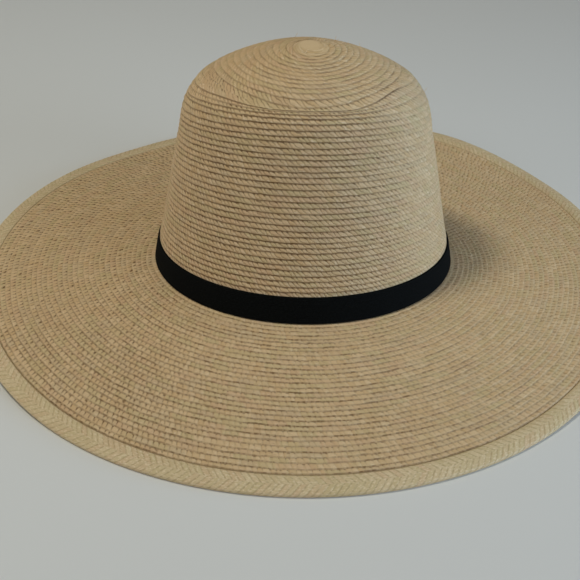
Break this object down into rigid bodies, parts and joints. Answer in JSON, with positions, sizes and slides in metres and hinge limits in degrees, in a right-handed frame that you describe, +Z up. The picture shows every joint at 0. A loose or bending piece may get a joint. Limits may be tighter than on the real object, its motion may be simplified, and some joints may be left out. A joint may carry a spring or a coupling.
{
  "type": "straw hat",
  "caption": "Wide-brimmed straw hat of spiral-sewn palm braid, with a tall rounded crown, a herringbone edge braid and a narrow black ribbed band.",
  "frame": {"origin": "middle of the hat's outline seen from above, on the surface it rests on", "axes": "+Z up; -Y the side the picture shows; +X to the right in the picture"},
  "size_m": [0.4232, 0.4102, 0.1589],
  "materials": {
    "straw": "matte natural palm straw",
    "edge_straw": "matte paler palm straw",
    "ribbon": "dull black ribbed ribbon"
  },
  "bodies": {
    "root": {"crown": "straw", "brim": "straw", "edge_braid": "edge_straw", "hat_band": "ribbon"}
  },
  "joints": []
}
